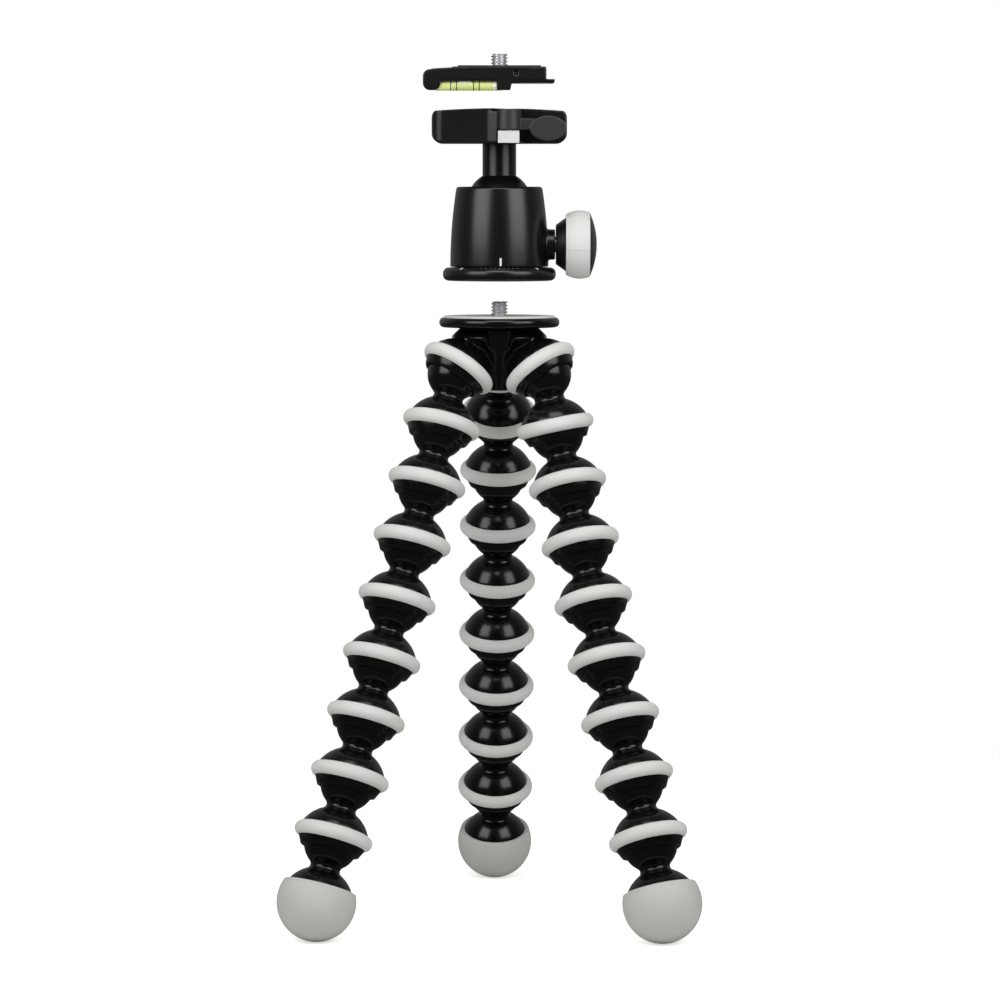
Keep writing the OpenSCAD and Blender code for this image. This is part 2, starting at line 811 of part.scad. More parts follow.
module clamp_lever() {
    color(BLACK)
        difference() {
            union() {
                translate([pin_x, -pin_y, lever_z]) cylinder(r = lever_hub_r, h = lever_top - lever_z);
                translate([pin_x, -pin_y - arm_t / 2, lever_z])
                    cube([pad_x - pin_x, arm_t, oval_z + pad_tall - lever_z - arm_drop]);
                translate([pad_x, -lever_wall - run_gap, oval_z + pad_tall / 2])
                    rotate([90, 0, 0])
                        linear_extrude(height = pad_depth) oval(pad_w, pad_tall);
            }
            translate([pin_x, -pin_y, clamp_z]) cylinder(r = pin_r + run_gap, h = clamp_h);
        }
}

// Bore that holds the level's tube, or the tube itself with a negative gap.
module level_bore(gap) {
    span = bar_left + bar_right - block_w - end_w + 2 * vial_hold + 2 * gap;
    translate([-bar_left + block_w - vial_hold - gap, bar_d / 2 - bar_front, plate_z - vial_r])
        rotate([0, 90, 0]) cylinder(r = vial_r + max(gap, 0), h = span);
}

// Bar in front of the plate, crowned on top, with the end blocks that carry the level.
module level_bar() {
    crown_r = (bar_left * bar_left + bar_crown * bar_crown) / (2 * bar_crown);
    block_x = block_w / 2 - bar_left;
    translate([0, bar_d - bar_front, 0]) rotate([90, 0, 0]) linear_extrude(height = bar_d) {
        translate([block_x, (block_top + block_low) / 2])
            soft_square(block_w, block_top - block_low, block_round);
        polygon([[bar_right - end_w, slab_z], [bar_right - end_w, block_low],
            [bar_right - end_slope, block_low], [bar_right, slab_z]]);
    }
    intersection() {
        translate([block_x, -bar_front, plate_z]) cube([plate_half - block_x, bar_d, plate_top - plate_z]);
        translate([0, past, plate_top - crown_r])
            rotate([90, 0, 0]) cylinder(r = crown_r, h = bar_front + 2 * past, $fn = 360);
    }
}

// Plate: a foot for the clamp, a slab over it and the bar in front.
module plate_body() {
    color(BLACK)
        difference() {
            union() {
                translate([-plate_half, -foot_front, plate_z])
                    cube([2 * plate_half, foot_front + foot_rear, pocket_h + skin_gap]);
                translate([plate_half - past, -foot_front, plate_z])
                    cube([flange_w + past, foot_front + foot_rear, flange_h]);
                translate([-plate_half, bar_d - bar_front - past, slab_z])
                    cube([2 * plate_half, bar_front - bar_d + past + foot_rear, plate_top_h]);
                level_bar();
            }
            level_bore(skin_gap);
            translate([notch_x, -bar_front - past, plate_top - notch_w - notch_h])
                cube([notch_w, notch_w + past, notch_h]);
            stud_hole(thread_r + run_gap, plate_z - past, plate_top + past);
            stud_hole(screw_head_r + run_gap, plate_z - past, head_z + screw_head_h + run_gap);
        }
}

module plate_pad() {
    color(GREY)
        difference() {
            translate([rim_w - plate_half, rim_w - foot_rear, plate_top])
                cube([2 * (plate_half - rim_w), 2 * (foot_rear - rim_w), pad_h]);
            stud_hole(thread_r + 2 * run_gap, plate_z, plate_top + pad_h + past);
        }
}

module level_vial() {
    color(LIME) level_bore(-skin_gap);
}

module camera_screw() {
    color(STEEL) {
        stud_hole(screw_head_r, head_z, head_z + screw_head_h);
        stud_hole(screw_neck_r, head_z, plate_top + pad_h);
        stud_hole(thread_r, plate_top + pad_h, plate_top + screw_rise);
    }
}

hub_body();
hub_rings();
top_disc();
disc_pad();
tripod_stud();
left_link_1();
left_link_2();
left_link_3();
left_link_4();
left_link_5();
left_link_6();
left_link_7();
left_link_8();
left_foot_ball();
left_foot_pad();
right_link_1();
right_link_2();
right_link_3();
right_link_4();
right_link_5();
right_link_6();
right_link_7();
right_link_8();
right_foot_ball();
right_foot_pad();
rear_link_1();
rear_link_2();
rear_link_3();
rear_link_4();
rear_link_5();
rear_link_6();
rear_link_7();
rear_link_8();
rear_foot_ball();
rear_foot_pad();
pan_base();
base_insert();
pan_retainer();
housing();
ball_seat();
brake_nose();
knob_core();
knob_grip();
knob_cap();
knob_screw();
ball_stem();
clamp_body();
clamp_screw();
lever_pin();
clamp_jaw();
clamp_lever();
plate_body();
plate_pad();
level_vial();
camera_screw();
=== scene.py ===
"""Looks of the flexible leg tripod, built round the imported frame.

Metres, z up. The viewer looks along +y and the tripod stands on z = 0. Sizes in the classes are
millimetres and angles are degrees.
"""

import json
import logging
import math
from dataclasses import dataclass, field
from enum import Enum
from typing import ClassVar

import bpy
from mathutils import Matrix, Vector

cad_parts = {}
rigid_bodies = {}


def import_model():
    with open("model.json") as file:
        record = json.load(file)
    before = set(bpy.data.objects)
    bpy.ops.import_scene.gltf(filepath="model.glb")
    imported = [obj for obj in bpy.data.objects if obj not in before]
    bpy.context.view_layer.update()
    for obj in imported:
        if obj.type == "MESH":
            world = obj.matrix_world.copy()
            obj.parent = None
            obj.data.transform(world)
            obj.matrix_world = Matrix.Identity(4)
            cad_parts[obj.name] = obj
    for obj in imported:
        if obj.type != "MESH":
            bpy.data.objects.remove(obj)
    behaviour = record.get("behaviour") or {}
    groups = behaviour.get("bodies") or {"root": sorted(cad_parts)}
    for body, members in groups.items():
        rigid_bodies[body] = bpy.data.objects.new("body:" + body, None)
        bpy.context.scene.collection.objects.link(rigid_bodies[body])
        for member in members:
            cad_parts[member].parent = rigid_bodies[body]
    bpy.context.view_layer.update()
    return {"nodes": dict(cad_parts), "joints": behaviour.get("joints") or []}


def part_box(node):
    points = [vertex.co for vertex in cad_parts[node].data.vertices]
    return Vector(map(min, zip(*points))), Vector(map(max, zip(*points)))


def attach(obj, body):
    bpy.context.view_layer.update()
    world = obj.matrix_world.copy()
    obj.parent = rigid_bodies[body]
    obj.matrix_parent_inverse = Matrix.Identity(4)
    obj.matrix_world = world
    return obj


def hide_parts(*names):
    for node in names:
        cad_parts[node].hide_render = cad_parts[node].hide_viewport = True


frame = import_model()

LOG = logging.getLogger("tripod")
MM = 0.001
# In metres: points nearer than SAME_M are drawn once, and vertices nearer than MERGE_M are merged
SAME_M = 1e-7
MERGE_M = 1e-6
# Edges that bend by more than this stay sharp
SHARP_DEG = 34.0
TURN_STEPS = 80
RELAX_FACTOR = 0.5
# Quarter-inch camera thread. Its flats are a share of the pitch, and its spare turns are cut off
THREAD_PITCH = 1.27
THREAD_CREST_R = 3.175
THREAD_ROOT_R = 2.5
THREAD_FLAT = 0.125
THREAD_SPARE = 2
THREAD_STEPS = 48
MOTTLE_DETAIL = 3.0
GRAIN_DETAIL = 2.0
WHITE = (1.0, 1.0, 1.0, 1.0)
Point = tuple[float, float]
Piece = bpy.types.Object


class Slot(Enum):
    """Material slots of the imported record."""

    LEG = "leg_black"
    GRIP = "grip_grey"
    FOOT = "foot_grey"
    HEAD = "head_black"
    CLAMP = "clamp_black"
    STEEL = "steel"
    LEVEL = "level_fluid"


class Side(Enum):
    """The three legs, by the names of their bodies."""

    LEFT = "left"
    RIGHT = "right"
    REAR = "rear"


def linear(colour: str) -> tuple[float, float, float, float]:
    """Turns an sRGB hex colour to linear light.

    Args:
        colour: Six hex digits with a leading #.

    Returns:
        Red, green, blue and alpha.
    """
    parts = [int(colour[i:i + 2], 16) / 255 for i in (1, 3, 5)]
    light = [c / 12.92 if c <= 0.04045 else ((c + 0.055) / 1.055) ** 2.4 for c in parts]
    return (*light, 1.0)


def add_node(tree: bpy.types.NodeTree, kind: str, inputs: dict[str | int, object] | None = None,
             **settings: object) -> bpy.types.Node:
    """Adds a node with its settings and links.

    Args:
        tree: Node tree that gets the node.
        kind: Blender's name for the kind of node.
        inputs: Socket name or number to a value, or to the output that feeds it.
        settings: The node's own properties.

    Returns:
        The new node.
    """
    node = tree.nodes.new(kind)
    for key, value in settings.items():
        setattr(node, key, value)
    for key, value in (inputs or {}).items():
        if isinstance(value, bpy.types.NodeSocket):
            tree.links.new(value, node.inputs[key])
        else:
            node.inputs[key].default_value = value
    return node


def bare_tree(owner: bpy.types.Material | bpy.types.World) -> bpy.types.NodeTree:
    """Switches a material or a world to nodes and empties its tree.

    Args:
        owner: The material or world.

    Returns:
        Its empty node tree.
    """
    owner.use_nodes = True
    owner.node_tree.nodes.clear()
    return owner.node_tree


@dataclass(frozen=True)
class Finish:
    """A surface, from its real material and the way it was made."""

    name: str
    colour: str
    shade: str
    roughness: float
    ior: float = 1.5
    metallic: float = 0.0
    specular: float = 0.5
    # Grain is drawn as coarse as it needs to show, where the real one is finer
    grain_mm: float = 0.5
    grain_deep_mm: float = 0.004
    gloss_spread: float = 0.04
    mottle_mm: float = 9.0
    transmission: float = 0.0
    sheen: float = 0.0

    def material(self) -> bpy.types.Material:
        """Makes the material, or finds it if it is made.

        Returns:
            The material with its node tree.
        """
        made = bpy.data.materials.get(self.name)
        if made:
            return made
        made = bpy.data.materials.new(self.name)
        tree = bare_tree(made)
        where = add_node(tree, "ShaderNodeTexCoord").outputs["Object"]
        mottle = add_node(tree, "ShaderNodeTexNoise", {"Vector": where, "Detail": MOTTLE_DETAIL,
                                                       "Scale": 1 / (self.mottle_mm * MM)})
        # A colour mix has its share at socket 0, its colours at 6 and 7, and its result at output 2
        tint = add_node(tree, "ShaderNodeMix", {0: mottle.outputs["Fac"], 6: linear(self.colour),
                                                7: linear(self.shade)}, data_type="RGBA")
        grain = add_node(tree, "ShaderNodeTexNoise", {"Vector": where, "Detail": GRAIN_DETAIL,
                                                      "Scale": 1 / (self.grain_mm * MM)})
        gloss = add_node(tree, "ShaderNodeMapRange",
                         {"Value": grain.outputs["Fac"], "To Min": self.roughness - self.gloss_spread,
                          "To Max": self.roughness + self.gloss_spread})
        bump = add_node(tree, "ShaderNodeBump", {"Height": grain.outputs["Fac"], "Strength": 1.0,
                                                 "Distance": self.grain_deep_mm * MM})
        shader = add_node(tree, "ShaderNodeBsdfPrincipled",
                          {"Base Color": tint.outputs[2], "Roughness": gloss.outputs["Result"],
                           "Normal": bump.outputs["Normal"], "Metallic": self.metallic, "IOR": self.ior,
                           "Specular IOR Level": self.specular, "Transmission Weight": self.transmission,
                           "Sheen Weight": self.sheen})
        add_node(tree, "ShaderNodeOutputMaterial", {"Surface": shader.outputs["BSDF"]})
        return made


# Nylon from a polished mould: deep black that mirrors the light boxes as soft grey patches.
GLOSS_NYLON = Finish("glass_filled_nylon_polished_mould", "#060607", "#0a0a0b", 0.2, ior=1.53, specular=0.4,
                     grain_mm=1.6, grain_deep_mm=0.004, gloss_spread=0.03)
# Soft elastomer moulded over the nylon: matt, even, with the fine spark grain of its mould.
GRIP_TPE = Finish("thermoplastic_elastomer_spark_mould", "#d0d0ce", "#cacac7", 0.62, ior=1.5, specular=0.3,
                  grain_mm=0.7, grain_deep_mm=0.012, sheen=0.05)
# The same elastomer, painted a shade darker for the shade that falls on the low feet and along the knob's
# seam.
SHADED_TPE = Finish("thermoplastic_elastomer_painted_shade", "#bebebb", "#b6b6b2", 0.6, ior=1.5, specular=0.3,
                  grain_mm=0.8, grain_deep_mm=0.012, sheen=0.05)
# Die-cast alloy with a satin stove coat: broad soft bands of light.
SATIN_COAT = Finish("cast_aluminium_satin_coat", "#0a0a0b", "#0e0e0f", 0.27, ior=1.5, specular=0.54,
                    grain_mm=2.2, grain_deep_mm=0.001, gloss_spread=0.004)
# Nylon from a fine-blasted mould: satin to matt black.
SATIN_NYLON = Finish("nylon_blasted_mould", "#0d0d0e", "#121213", 0.33, ior=1.53, specular=0.4,
                     grain_mm=0.6, grain_deep_mm=0.008, gloss_spread=0.06)
# Nylon from a coarser blasted mould, for the lever: matt, and painted a shade greyer than the clamp for the
# light that its faces catch from the light boxes.
LIGHTENED_NYLON = Finish("nylon_coarse_blasted_painted_light", "#2a2a2b", "#303031", 0.42, ior=1.53, specular=0.45,
                    grain_mm=0.6, grain_deep_mm=0.006, gloss_spread=0.04)
# Turned steel, bright plated: soft highlights, a little uneven from the tool.
BRIGHT_STEEL = Finish("steel_turned_bright", "#dcdddf", "#cfd0d3", 0.34, metallic=0.8,
                      grain_mm=0.5, grain_deep_mm=0.004, gloss_spread=0.06)
# Steel, blasted and nickel plated: scatters the light and looks nearly white.
BLASTED_STEEL = Finish("steel_blasted_nickel", "#dededc", "#d6d6d4", 0.5, metallic=0.3,
                       grain_mm=0.4, grain_deep_mm=0.006, gloss_spread=0.05)
# Turned brass: warm yellow with soft highlights.
TURNED_BRASS = Finish("brass_turned", "#b08d4a", "#a07f40", 0.28, metallic=1.0, grain_mm=0.5)
# Moulded rubber that the camera stands on: matt black.
BLACK_RUBBER = Finish("nitrile_rubber_moulded", "#151516", "#1a1a1b", 0.7, ior=1.52, specular=0.25,
                      grain_mm=0.7, grain_deep_mm=0.012)
# White pad-printing ink: flat and even.
WHITE_INK = Finish("ink_white_pad_print", "#e2e2e0", "#d6d6d3", 0.5, grain_mm=0.4)
# Black ink on the level's tube, so thin that the spirit turns it dark olive.
BLACK_INK = Finish("ink_black_tube_print", "#3c3d30", "#46473a", 0.5, grain_mm=0.4)
# Tube full of dyed spirit: pale yellow-green that lets light through.
LEVEL_SPIRIT = Finish("acrylic_tube_dyed_spirit", "#e3ec9c", "#dbe58e", 0.08, ior=1.45, grain_mm=2.0,
                      grain_deep_mm=0.0, gloss_spread=0.02, transmission=0.25)
# Air in the spirit: a clear bright drop.
BUBBLE_AIR = Finish("air_bubble", "#f6fadb", "#f1f6d0", 0.06, ior=1.33, grain_mm=2.0, grain_deep_mm=0.0,
                    gloss_spread=0.02, transmission=0.4)


@dataclass
class Outline:
    """Half outline of a turned piece, as (radius, height) points."""

    points: list[Point] = field(default_factory=list)

    def to(self, *points: Point) -> "Outline":
        """Goes straight to each point in turn."""
        self.points.extend(points)
        return self

    def arc(self, centre: Point, radius: float, start: float, end: float, steps: int = 10) -> "Outline":
        """Follows an arc.

        Args:
            centre: Radius and height of the arc's centre.
            radius: Radius of the arc.
            start: Angle at the start, in degrees from the outward direction.
            end: Angle at the end.
            steps: Number of straight pieces.

        Returns:
            This outline.
        """
        for i in range(steps + 1):
            a = math.radians(start + (end - start) * i / steps)
            self.points.append((centre[0] + radius * math.cos(a), centre[1] + radius * math.sin(a)))
        return self

    def closed(self) -> "Outline":
        """Goes back to the first point."""
        return self.to(self.points[0])

    def places(self) -> list[Vector]:
        """Gives the points in metres on the xz plane.

        Returns:
            The points in their order, without repeats.
        """
        made: list[Vector] = []
        for r, z in self.points:
            p = Vector((r, 0.0, z)) * MM
            if not made or (p - made[-1]).length > SAME_M:
                made.append(p)
        return made


class Bench:
    """Shapes meshes with operators, as by hand."""

    @staticmethod
    def clear() -> None:
        """Leaves edit mode and deselects everything."""
        if bpy.context.object and bpy.context.object.mode != "OBJECT":
            bpy.ops.object.mode_set(mode="OBJECT")
        bpy.ops.object.select_all(action="DESELECT")

    @classmethod
    def pick(cls, piece: Piece) -> None:
        """Selects one piece and makes it active.

        Args:
            piece: The piece.
        """
        cls.clear()
        piece.select_set(True)
        bpy.context.view_layer.objects.active = piece

    @classmethod
    def chain(cls, name: str, points: list[Vector]) -> Piece:
        """Draws edges through points and stays in edit mode.

        Args:
            name: Name of the new piece.
            points: Places in metres.

        Returns:
            The piece, whose one chain of edges is selected.
        """
        cls.clear()
        bpy.ops.mesh.primitive_plane_add(size=MM)
        piece = bpy.context.object
        piece.name = piece.data.name = name
        bpy.ops.object.mode_set(mode="EDIT")
        bpy.ops.mesh.select_all(action="SELECT")
        bpy.ops.mesh.merge(type="CENTER")
        bpy.ops.transform.translate(value=points[0])
        for a, b in zip(points, points[1:]):
            bpy.ops.mesh.extrude_vertices_move(TRANSFORM_OT_translate={"value": b - a})
        bpy.ops.mesh.select_all(action="SELECT")
        return piece

    @classmethod
    def turn(cls, name: str, outline: Outline, steps: int = TURN_STEPS, degrees: float = 360.0) -> Piece:
        """Turns a half outline about z, as on a lathe.

        Args:
            name: Name of the new piece.
            outline: Half outline.
            steps: Number of faces round the axis.
            degrees: Angle that it is turned through. A part turn is closed at both ends.

        Returns:
            The piece, standing on the origin.
        """
        piece = cls.chain(name, outline.places())
        bpy.ops.mesh.spin(steps=steps, angle=math.radians(degrees), center=(0, 0, 0), axis=(0, 0, 1))
        bpy.ops.mesh.select_all(action="SELECT")
        bpy.ops.mesh.remove_doubles(threshold=MERGE_M)
        if degrees < 360:
            bpy.ops.mesh.fill_holes(sides=0)
        bpy.ops.mesh.normals_make_consistent(inside=False)
        bpy.ops.object.mode_set(mode="OBJECT")
        bpy.ops.object.shade_smooth_by_angle(angle=math.radians(SHARP_DEG))
        return piece

    @classmethod
    def soften(cls, node: str, name: str, voxel: float, rounds: int) -> Piece:
        """Copies a node and rounds its edges, as a mould or a coat of paint leaves them.

        Args:
            node: Node to copy.
            name: Name of the copy.
            voxel: Size of the copy's faces, in millimetres.
            rounds: How many times the copy is smoothed.

        Returns:
            The copy.
        """
        cls.pick(frame["nodes"][node])
        bpy.ops.object.duplicate(linked=False)
        bpy.ops.object.parent_clear(type="CLEAR_KEEP_TRANSFORM")
        piece = bpy.context.object
        piece.name = piece.data.name = name
        for key in list(piece.keys()):
            del piece[key]
        bpy.ops.object.mode_set(mode="EDIT")
        bpy.ops.mesh.select_all(action="SELECT")
        bpy.ops.mesh.remove_doubles(threshold=MERGE_M)
        bpy.ops.object.mode_set(mode="OBJECT")
        skin = piece.modifiers.new("skin", "REMESH")
        skin.mode, skin.voxel_size = "VOXEL", voxel * MM
        relax = piece.modifiers.new("relax", "SMOOTH")
        relax.factor, relax.iterations = RELAX_FACTOR, rounds
        for made in (skin.name, relax.name):
            bpy.ops.object.modifier_apply(modifier=made)
        bpy.ops.object.shade_smooth()
        return piece

    @classmethod
    def thread(cls, name: str, low: float, high: float) -> Piece:
        """Cuts a quarter-inch camera thread about z.

        Args:
            name: Name of the new piece.
            low: Height of the thread's lower end, in millimetres.
            high: Height of its upper end.

        Returns:
            The piece, closed at both ends.
        """
        p, root, crest = THREAD_PITCH, THREAD_ROOT_R, THREAD_CREST_R
        start, flat = low - THREAD_SPARE * p, THREAD_FLAT * p
        rib = Outline().to((root, start), (root, start + flat), (crest, start + p / 2 - flat / 2),
                           (crest, start + p / 2 + flat / 2), (root, start + p - flat), (root, start + p))
        piece = cls.chain(name, rib.places())
        bpy.ops.object.mode_set(mode="OBJECT")
        screw = piece.modifiers.new("screw", "SCREW")
        screw.screw_offset = p * MM
        screw.iterations = math.ceil((high - low) / p) + 2 * THREAD_SPARE
        screw.steps = screw.render_steps = THREAD_STEPS
        screw.use_merge_vertices, screw.merge_threshold = True, MERGE_M
        bpy.ops.object.modifier_apply(modifier=screw.name)
        bpy.ops.object.mode_set(mode="EDIT")
        for height, below in ((low, True), (high, False)):
            bpy.ops.mesh.select_all(action="SELECT")
            bpy.ops.mesh.bisect(plane_co=(0, 0, height * MM), plane_no=(0, 0, 1), use_fill=True,
                                clear_inner=below, clear_outer=not below)
        bpy.ops.mesh.select_all(action="SELECT")
        bpy.ops.mesh.normals_make_consistent(inside=False)
        bpy.ops.object.mode_set(mode="OBJECT")
        bpy.ops.object.shade_smooth_by_angle(angle=math.radians(SHARP_DEG))
        return piece

    @classmethod
    def place(cls, piece: Piece, matrix: Matrix) -> Piece:
        """Moves a piece's mesh to its place, and leaves its object at the origin.

        Args:
            piece: The piece, standing at the origin.
            matrix: Its place.

        Returns:
            The piece.
        """
        cls.pick(piece)
        piece.matrix_world = matrix
        bpy.ops.object.transform_apply(location=True, rotation=True, scale=True)
        return piece

    @classmethod
    def copy(cls, piece: Piece, name: str, matrix: Matrix) -> Piece:
        """Copies a piece with its own mesh and places the copy.

        Args:
            piece: Piece to copy.
            name: Name of the copy.
            matrix: Place of the copy.

        Returns:
            The copy.
        """
        cls.pick(piece)
        bpy.ops.object.duplicate(linked=False)
        twin = bpy.context.object
        twin.name = twin.data.name = name
        return cls.place(twin, matrix)

    @classmethod
    def join(cls, pieces: list[Piece], name: str) -> Piece:
        """Joins pieces into one.

        Args:
            pieces: The pieces.
            name: Name of the joined piece.

        Returns:
            The joined piece.
        """
        cls.pick(pieces[0])
        for p in pieces:
            p.select_set(True)
        bpy.ops.object.join()
        joined = bpy.context.object
        joined.name = joined.data.name = name
        return joined

    @staticmethod
    def scrap(*pieces: Piece) -> None:
        """Deletes patterns once their copies are made."""
        for p in pieces:
            bpy.data.objects.remove(p, do_unlink=True)


def dress(piece: Piece, finish: Finish, body: str, slot: Slot, *nodes: str) -> Piece:
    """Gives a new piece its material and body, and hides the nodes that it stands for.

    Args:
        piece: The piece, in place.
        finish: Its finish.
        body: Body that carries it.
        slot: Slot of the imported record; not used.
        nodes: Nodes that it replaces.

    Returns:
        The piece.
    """
    piece.data.materials.clear()
    piece.data.materials.append(finish.material())
    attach(piece, body)
    if nodes:
        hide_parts(*nodes)
    LOG.info("%s rides on %s, %d faces", piece.name, body, len(piece.data.polygons))
    return piece


def keep(finish: Finish, *nodes: str) -> None:
    """Gives nodes that stay as they are their finish.

    Args:
        finish: The finish.
        nodes: Names of the nodes.
    """
    for name in nodes:
        node = frame["nodes"][name]
        for s in node.material_slots:
            s.material = finish.material()
        LOG.info("%s keeps its solid", name)


def joint_place(name: str) -> Vector:
    """Gives a joint's point in metres."""
    return Vector(next(j["pos_m"] for j in frame["joints"] if j["name"] == name))


def span(node: str) -> tuple[Vector, Vector]:
    """Gives a node's lowest and highest corners in millimetres."""
    low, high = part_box(node)
    return low / MM, high / MM


def about_z(degrees: float) -> Matrix:
    """Gives a turn about z."""
    return Matrix.Rotation(math.radians(degrees), 4, "Z")


def along_x(point: Vector) -> Matrix:
    """Gives the place of a piece turned about z whose axis lies along x through a point in millimetres."""
    return Matrix.Translation(point * MM) @ Matrix.Rotation(math.radians(90), 4, "Y")


def hang(point: Vector, along: Vector) -> Matrix:
    """Gives the place of a piece that hangs from a point, with its -z along a direction."""
    return Matrix.Translation(point) @ along.to_track_quat("-Z", "Y").to_matrix().to_4x4()


@dataclass
class LegSizes:
    """Sizes of a leg's link, ring and foot, drawn under a ball centre at the origin."""

    links: int = 8
    # Link: its ball, its dome and cup round the next ball, and the lip that holds that ball in
    ball_r: float = 10.2
    pitch: float = 23.1
    dome_r: float = 13.8
    cup_in: float = 10.5
    waist_round: float = 1.8
    lip_drop: float = 2.9
    lip_wall: float = 1.2
    lip_edge: float = 0.4
    # Grip ring: its height above the next ball, its section's radius, and how far it stands proud
    ring_up: float = 2.9
    ring_section: float = 2.7
    ring_proud: float = 2.2
    # Room that keeps two skins from lying in each other
    skin_gap: float = 0.05
    # Foot: the pad's radius, its centre below the ball, its edge above that centre, its lip and its core
    foot_r: float = 14.8
    foot_len: float = 22.4
    foot_edge: float = 5.9
    foot_lip: float = 0.7
    core_r: float = 8.8

    @property
    def ring_top(self) -> float:
        """Height of the ring seat's top above the next ball."""
        bite = self.ring_section - self.ring_proud
        return self.ring_up + math.sqrt(self.ring_section ** 2 - bite ** 2)

    @property
    def seat_r(self) -> float:
        """Radius of the ring's seat."""
        return math.sqrt(self.dome_r ** 2 - self.ring_top ** 2)

    @property
    def edge_z(self) -> float:
        """Height of the foot pad's top edge."""
        return -self.foot_len + self.foot_edge

    def waist(self) -> Point:
        """Finds the rounding that touches both the ball and the dome.

        Returns:
            Radius and height of the rounding's centre.
        """
        b, d, w, p = self.ball_r, self.dome_r, self.waist_round, self.pitch
        z = ((d + w) ** 2 - (b + w) ** 2 - p ** 2) / (2 * p)
        return math.sqrt((b + w) ** 2 - z ** 2), z

    def neck(self, dome_end: float) -> Outline:
        """Draws the ball, the waist and the dome.

        Args:
            dome_end: Height above the dome's centre at which its arc ends.

        Returns:
            The outline from the ball's top to the dome's end.
        """
        r, z = self.waist()
        leave = math.degrees(math.atan2(z, r))
        meet = math.degrees(math.atan2(z + self.pitch, r))
        end = math.degrees(math.asin(dome_end / self.dome_r))
        line = Outline().arc((0, 0), self.ball_r, 90, leave, steps=22)
        line.arc((r, z), self.waist_round, leave + 180, 180 + meet, steps=8)
        return line.arc((0, -self.pitch), self.dome_r, meet, end, steps=14)

    def shell(self) -> Outline:
        """Draws a link: its ball, waist, dome, ring seat, lip and cup.

        Returns:
            The outline from the ball's top to the cup's top.
        """
        p, edge = self.pitch, self.lip_edge
        seat_z = self.ring_up - self.ring_section
        lip_r = math.sqrt(self.cup_in ** 2 - self.lip_drop ** 2) + self.lip_wall
        lip_z = -p - self.lip_drop + edge
        cup_low = -math.degrees(math.asin(self.lip_drop / self.cup_in))
        line = self.neck(self.ring_top).to((self.seat_r, -p + seat_z), (lip_r, lip_z))
        line.arc((lip_r - edge, lip_z), edge, 0, -90, steps=3)
        return line.arc((0, -p), self.cup_in, cup_low, 90, steps=18)

    def ring(self) -> Outline:
        """Draws a grip ring, round outside and flat where it lies on its seat.

        Returns:
            The closed outline.
        """
        mid = self.seat_r + self.ring_proud - self.ring_section
        cut = math.degrees(math.acos((self.seat_r + self.skin_gap - mid) / self.ring_section))
        centre = (mid, self.ring_up - self.pitch)
        return Outline().arc(centre, self.ring_section, cut, -cut, steps=20).closed()

    def foot_dome(self) -> Outline:
        """Draws the foot's ball, waist and dome, with the round core that its pad covers."""
        line = self.neck(self.edge_z + self.pitch).to((self.core_r, self.edge_z))
        return line.arc((0, -self.foot_len), self.core_r, 0, -90, steps=8)

    def foot_pad(self) -> Outline:
        """Draws the foot's pad, whose top edge is rolled over to a lip that meets the dome.

        Returns:
            The closed outline.
        """
        lip, middle = self.foot_lip, -self.foot_len
        lip_z = self.edge_z - self.skin_gap - lip
        rise = lip_z + self.foot_len
        out = math.sqrt(self.foot_r ** 2 - rise ** 2)
        lean = math.degrees(math.asin(rise / self.foot_r))
        dome_rise = self.edge_z - self.skin_gap + self.pitch
        inner = math.sqrt(self.dome_r ** 2 - dome_rise ** 2) + self.skin_gap
        line = Outline().to((inner, lip_z - lip), (inner, lip_z + lip))
        line.arc((out - lip, lip_z), lip, 90, lean, steps=5)
        line.arc((0, middle), self.foot_r, lean, -90, steps=24)
        return line.to((0, middle - self.core_r - lip), (self.core_r, lip_z - lip)).closed()


@dataclass
class Leg:
    """One leg: links with their grip rings, and a foot."""

    side: Side
    sizes: LegSizes
    patterns: ClassVar[dict[str, Piece]] = {}

    @classmethod
    def make_patterns(cls, sizes: LegSizes) -> None:
        """Turns one link shell, one grip ring, one foot dome and one foot pad.

        Args:
            sizes: Sizes of the legs.
        """
        outlines = {"link_shell": sizes.shell(), "grip_ring": sizes.ring(),
                    "foot_dome": sizes.foot_dome(), "foot_pad": sizes.foot_pad()}
        for name, line in outlines.items():
            cls.patterns[name] = Bench.turn(name, line)

    def build(self) -> None:
        """Places and dresses the leg's pieces."""
        s, side = self.sizes, self.side.value
        names = [f"{side}_joint_{i}" for i in range(1, s.links + 1)] + [f"{side}_foot_joint"]
        balls = [joint_place(n) for n in names]
        for i, (ball, nxt) in enumerate(zip(balls, balls[1:]), 1):
            place = hang(ball, nxt - ball)
            shell = Bench.copy(self.patterns["link_shell"], f"{side}_link_{i}_shell", place)
            dress(shell, GLOSS_NYLON, f"{side}_{i}", Slot.LEG, f"{side}_link_{i}")
            ring = Bench.copy(self.patterns["grip_ring"], f"{side}_link_{i}_ring", place)
            dress(ring, GRIP_TPE, f"{side}_{i}", Slot.GRIP)
        low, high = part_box(f"{side}_foot_pad")
        middle = Vector(((low.x + high.x) / 2, (low.y + high.y) / 2, low.z + s.foot_r * MM))
        place = hang(balls[-1], middle - balls[-1])
        dome = Bench.copy(self.patterns["foot_dome"], f"{side}_foot_dome", place)
        dress(dome, GLOSS_NYLON, f"{side}_foot", Slot.LEG, f"{side}_foot_ball")
        pad = Bench.copy(self.patterns["foot_pad"], f"{side}_foot_rubber", place)
        # The foot pads take the darker copy of the grip elastomer: painted shade.
        dress(pad, SHADED_TPE, f"{side}_foot", Slot.FOOT, f"{side}_foot_pad")

    @classmethod
    def clear_patterns(cls) -> None:
        """Deletes the patterns once the legs are built."""
        Bench.scrap(*cls.patterns.values())


